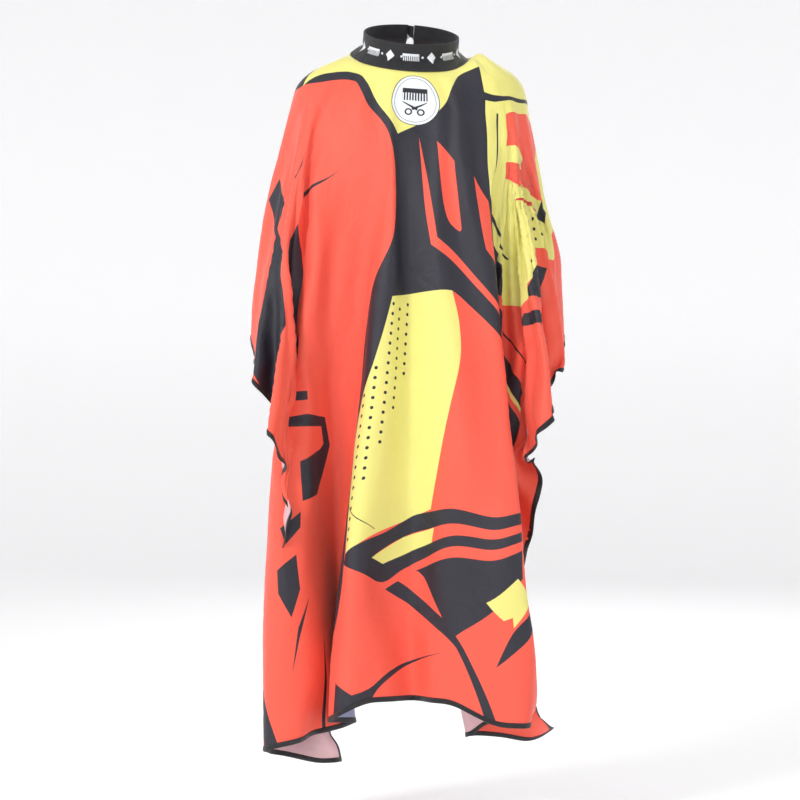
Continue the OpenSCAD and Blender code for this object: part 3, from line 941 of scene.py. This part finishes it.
W, F, B, S, T = HALF_W, -FRONT, BACK, SLIT_BOTTOM, SLIT_TOP
w = BIND_W
bindings = [binding("hem_binding_front", (-W, F), (W, F), (-W + w, F + w), (W - w, F + w))]
for side, hand in ((1, "left"), (-1, "right")):
    neck_y = math.sqrt(CLOTH_R**2 - (T + w) ** 2)
    bindings += [
        binding("hem_binding_" + hand, (side * W, F), (side * W, B),
                (side * (W - w), F + w), (side * (W - w), B - w)),
        binding("hem_binding_back_" + hand, (side * W, B), (side * S, B),
                (side * (W - w), B - w), (side * (S + w), B - w)),
        binding("opening_binding_" + hand, (side * S, B), (side * T, CLOTH_R + 0.001),
                (side * (S + w), B - w), (side * (T + w), neck_y + 0.001))]


# ---- the neck band ----
LOW = -BAND_H / 2
STITCH_LIFT = 0.00005


def face_radius(z):
    """The band's outer face: upright above, flared below, with a soft bend between."""
    d = LOW - z
    bend = 0.002
    d = 0 if d < -bend else d if d > bend else (d + bend) ** 2 / (4 * bend)
    return FACE_R + FOOT_OUT * d / FOOT_H + (0.0008 if z < LOW else 0) * smooth((LOW - z) / FOOT_H)


def band_profile():
    """(side, z): side 1 is the outer face, -1 the inner, and between them round the top."""
    zs = [SEAM_Z, SEAM_Z + .0012, SEAM_Z + .003, *np.linspace(SEAM_Z + .006, LOW - .003, 5),
          LOW - .001, LOW + .001, *np.linspace(LOW + .003, -LOW - .0045, 6), -LOW - .0025]
    up = [(1, z) for z in zs]
    over = [(math.cos(a), -LOW - .0013 + .0013 * math.sin(a)) for a in np.linspace(0, math.pi, 7)]
    return up + over + [(-1, z) for z in zs[::-1]]


def band_point(deg, side, z, proud=0.0):
    calm = smooth(abs(deg - 207) / 6 - 5) * smooth((z - SEAM_Z) / 0.004)
    p = Vector((math.sin(math.radians(deg)), math.cos(math.radians(deg)), z * 30))
    ripple = 0.0005 * calm * noise.noise(p * 5) + 0.00025 * calm * noise.noise(p * 17)
    gather = 0.0004 * calm * math.sin(math.radians(deg) * 34 + 3 * math.sin(math.radians(deg * 3)))
    gather *= smooth((LOW - z) / FOOT_H) if z < LOW else 0
    r = face_radius(z) - THICK / 2 * (1 - side) + ripple + gather + proud
    return around(deg, r, z)


profile = band_profile()
degs = np.linspace(BAND_FROM, BAND_TO, 241)
sections, flat = [], []
for i, deg in enumerate(degs):
    # the two sections at each end draw in, for rounded ends
    from_end = min(i, len(degs) - 1 - i)
    thin = 1
    if from_end < 2:
        thin, inset = ((0.35, 0), (0.8, 0.25))[from_end]
        deg = BAND_FROM + inset if i < 2 else BAND_TO - inset
    sections.append([band_point(deg, side * thin, z) for side, z in profile])
    flat += [(math.radians(deg) * FACE_R, k * 0.0022) for k in range(len(profile))]
parts = [(np.array(sections).reshape(-1, 3), tube(sections), 0, flat)]


def stitch_row(point, places, side):
    """A stitch line through (degrees, z) places on one face of the band or the tab."""
    path = np.array([point(d, side, z, STITCH_LIFT * side) for d, z in places])
    return (*stitches(path, np.array([outward(d, side) for d, _ in places])), 1, None)


for z in (-LOW - 0.0032, LOW + 0.0006, SEAM_Z + 0.0028):
    row = [(d, z) for d in np.linspace(BAND_FROM + 1, BAND_TO - 1, 361)]
    parts += [stitch_row(band_point, row, side) for side in (1, -1)]
band = assembled("neck_band", parts, [BAND_CLOTH, THREAD])
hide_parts("neckband_outer", "neckband_interlining", "neckband_lining")


# Generic marks printed round the band: combs, lozenges and dots
def lozenge(x, y, wide, high):
    return [(x - wide / 2, y), (x, y + high / 2), (x + wide / 2, y), (x, y - high / 2)]


def mark_piece(name, outlines):
    """A thin print on the band's outer face, from outlines in metres round it and up it."""
    parts = []
    for outline in outlines:
        at, tri, _ = cut_mesh(spaced(outline, 0.003), [], 0.003)
        place = [(math.degrees(x / FACE_R), z) for x, z in at]
        low = np.array([band_point(d, 1, z, 0.00008) for d, z in place])
        out = np.array([outward(d) for d, _ in place])
        p, f, _ = two_sided(low + out * 0.0001, out, tri[:, ::-1] if facing(at, tri) else tri, 0.0002)
        parts.append((p, f, 0, np.r_[at, at]))
    return assembled(name, parts, [MARK_INK])


def facing(at, tri):
    """Whether the triangles turn clockwise in flat space."""
    a, b, c = at[tri[0]]
    return (b[0] - a[0]) * (c[1] - a[1]) - (b[1] - a[1]) * (c[0] - a[0]) < 0


outlines = []
for i in range(-7, 8):
    x, z = i * 0.038, -0.0105
    outlines.append(comb(x, z, 0.030) if i % 2 == 0 else lozenge(x, z, 0.017, 0.019))
    if i < 7:
        outlines.append(disc(x + 0.0215, z, 0.0022, 12))
mark_piece("band_marks", outlines)


# The tape behind the neck seam
degs = np.linspace(BAND_FROM + 1.5, BAND_TO - 1.5, 181)
flat_ring = np.array([(CLOTH_R * math.sin(math.radians(d)), -CLOTH_R * math.cos(math.radians(d)))
                      for d in degs])
at_seam, seam_normal = drape(flat_ring)
at_out, out_normal = drape(flat_ring * (1 + 0.003 / CLOTH_R))
sections, flat = [], []
for i, d in enumerate(degs):
    a, b = Vector(at_seam[i]), Vector(at_out[i])
    n, m = Vector(seam_normal[i]), Vector(out_normal[i])
    c = around(d, CLOTH_R - 0.0035, SEAM_Z - 0.0008)
    down = around(d, 0, -1) - around(d, 0, 0)
    sections.append([c - down * 0.0001, a - n * 0.0004, b - m * 0.0004, b - m * 0.0010,
                     a - n * 0.0011, c + down * 0.0006])
    flat += [(math.radians(d) * CLOTH_R, k * 0.002) for k in range(6)]
tape = assembled("seam_tape", [(np.array(sections).reshape(-1, 3), tube(sections), 0, flat)], [TAPE])
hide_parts("neck_seam_tape")

# ---- the closure tab ----
def tab_point(deg, side, z, proud=0.0):
    r = NECK_R + THICK / 2 + TAB_SHIFT * smooth((deg - TAB_START) / TAB_STEP)
    return around(deg, r + side * THICK / 2 + proud, z)


def tab_section(half_high, fat):
    """Points round the tab's section: (side, z)."""
    h = half_high - 0.0011
    line = [(1, z) for z in np.linspace(-h, h, 9)]
    line += [(math.cos(a), h + 0.0011 * math.sin(a)) for a in np.linspace(0.4, math.pi - 0.4, 4)]
    line += [(-1, z) for z in np.linspace(h, -h, 9)]
    line += [(-math.cos(a), -h - 0.0011 * math.sin(a)) for a in np.linspace(0.4, math.pi - 0.4, 4)]
    return [(s * fat, z) for s, z in line]


sections, flat = [], []
corner = 0.005          # the free end's rounded corners
for deg in [*np.arange(TAB_START, TAB_END - 0.2, 0.45), TAB_END - 0.15, TAB_END]:
    left = math.radians(TAB_END - deg) * (FACE_R + TAB_SHIFT)
    pull = corner - math.sqrt(max(0, corner**2 - (corner - min(left, corner)) ** 2))
    fat = smooth(0.35 + left / 0.0012) * smooth(0.45 + (deg - TAB_START) / 0.8)
    sections.append([tab_point(deg, s, z) for s, z in tab_section(TAB_H / 2 - pull, fat)])
    flat += [(math.radians(deg) * FACE_R, k * 0.0022) for k in range(len(sections[0]))]
parts = [(np.array(sections).reshape(-1, 3), tube(sections), 0, flat)]
inset = 0.0028
high, end = TAB_H / 2 - inset, TAB_END - math.degrees(inset / (FACE_R + TAB_SHIFT))
round_it = [(d, -high) for d in np.linspace(TAB_START + 1.2, end - 1.5, 60)]
round_it += [(end, z) for z in np.linspace(-high + 0.0022, high - 0.0022, 12)]
round_it += [(d, high) for d in np.linspace(end - 1.5, TAB_START + 1.2, 60)]
parts += [stitch_row(tab_point, round_it, side) for side in (1, -1)]
tab = assembled("closure_tab_strap", parts, [BAND_CLOTH, THREAD], body=None)
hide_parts("closure_tab_outer", "closure_tab_interlining", "closure_tab_lining")
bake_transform(tab)

# ---- the snaps keep their CAD shapes ----
for name, material in (("snap_caps", CAP), ("snap_sockets", STEEL), ("snap_studs", STEEL),
                       ("snap_prong_rings", STEEL)):
    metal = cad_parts[name]
    metal.data.materials.clear()
    metal.data.materials.append(material)

# ---- floor, light ----
FLOOR = cad_box[0][2] - 0.10
FLAT_R, BEND_R, WALL_TOP = 5, 1.2, 4.5
profile = [(0.01, FLOOR), (FLAT_R / 2, FLOOR), (FLAT_R, FLOOR)]
profile += [(FLAT_R + BEND_R * math.sin(a), FLOOR + BEND_R - BEND_R * math.cos(a))
            for a in np.linspace(0, math.pi / 2, 16)[1:]] + [(FLAT_R + BEND_R, WALL_TOP)]
n, turns = len(profile), 96
points = [(r * math.sin(2 * math.pi * k / turns), r * math.cos(2 * math.pi * k / turns), z)
          for k in range(turns) for r, z in profile]
faces = [[k * n + i, k * n + i + 1, (k + 1) % turns * n + i + 1, (k + 1) % turns * n + i]
         for k in range(turns) for i in range(n - 1)] + [[k * n for k in range(turns)]]
studio = mesh_object("studio_floor", points, faces)
studio.data.polygons.foreach_set("use_smooth", [True] * len(faces))
paper, tree, shader = new_material("studio_paper", linear(250, 250, 250), 0.9)
grain = node(tree, "TexNoise", Scale=3.0, Detail=2.0)
vary_colour(tree, shader, linear(248, 248, 249), grain.outputs["Fac"], 0.01)
shader.inputs["Emission Color"].default_value = (1, 1, 1, 1)
shader.inputs["Emission Strength"].default_value = 0.19
studio.data.materials.append(paper)


def light(name, at, aim, energy, size, colour=(1, 1, 1)):
    lamp = bpy.data.lights.new(name, "AREA")
    lamp.energy, lamp.size, lamp.color = energy, size, colour
    obj = bpy.data.objects.new(name, lamp)
    obj.location = at
    obj.rotation_euler = (Vector(aim) - Vector(at)).to_track_quat("-Z", "Y").to_euler()
    scene.collection.objects.link(obj)


light("key", (-2.6, -2.4, 1.3), (0, 0, -0.6), 84, 0.9)
light("fill", (2.4, -3.0, 0.2), (0, 0, -0.7), 18, 2.2)
light("top", (0.3, 0.2, 2.4), (0, 0.1, -0.5), 22, 1.6)
light("back", (0.6, 3.2, 1.2), (0, 0, -0.5), 24, 2.0)
world = bpy.data.worlds.new("world")
scene.world = world
world.use_nodes = True
world.node_tree.nodes["Background"].inputs[0].default_value = (1, 1, 1, 1)
world.node_tree.nodes["Background"].inputs[1].default_value = 0.24
scene.view_settings.view_transform = "Standard"
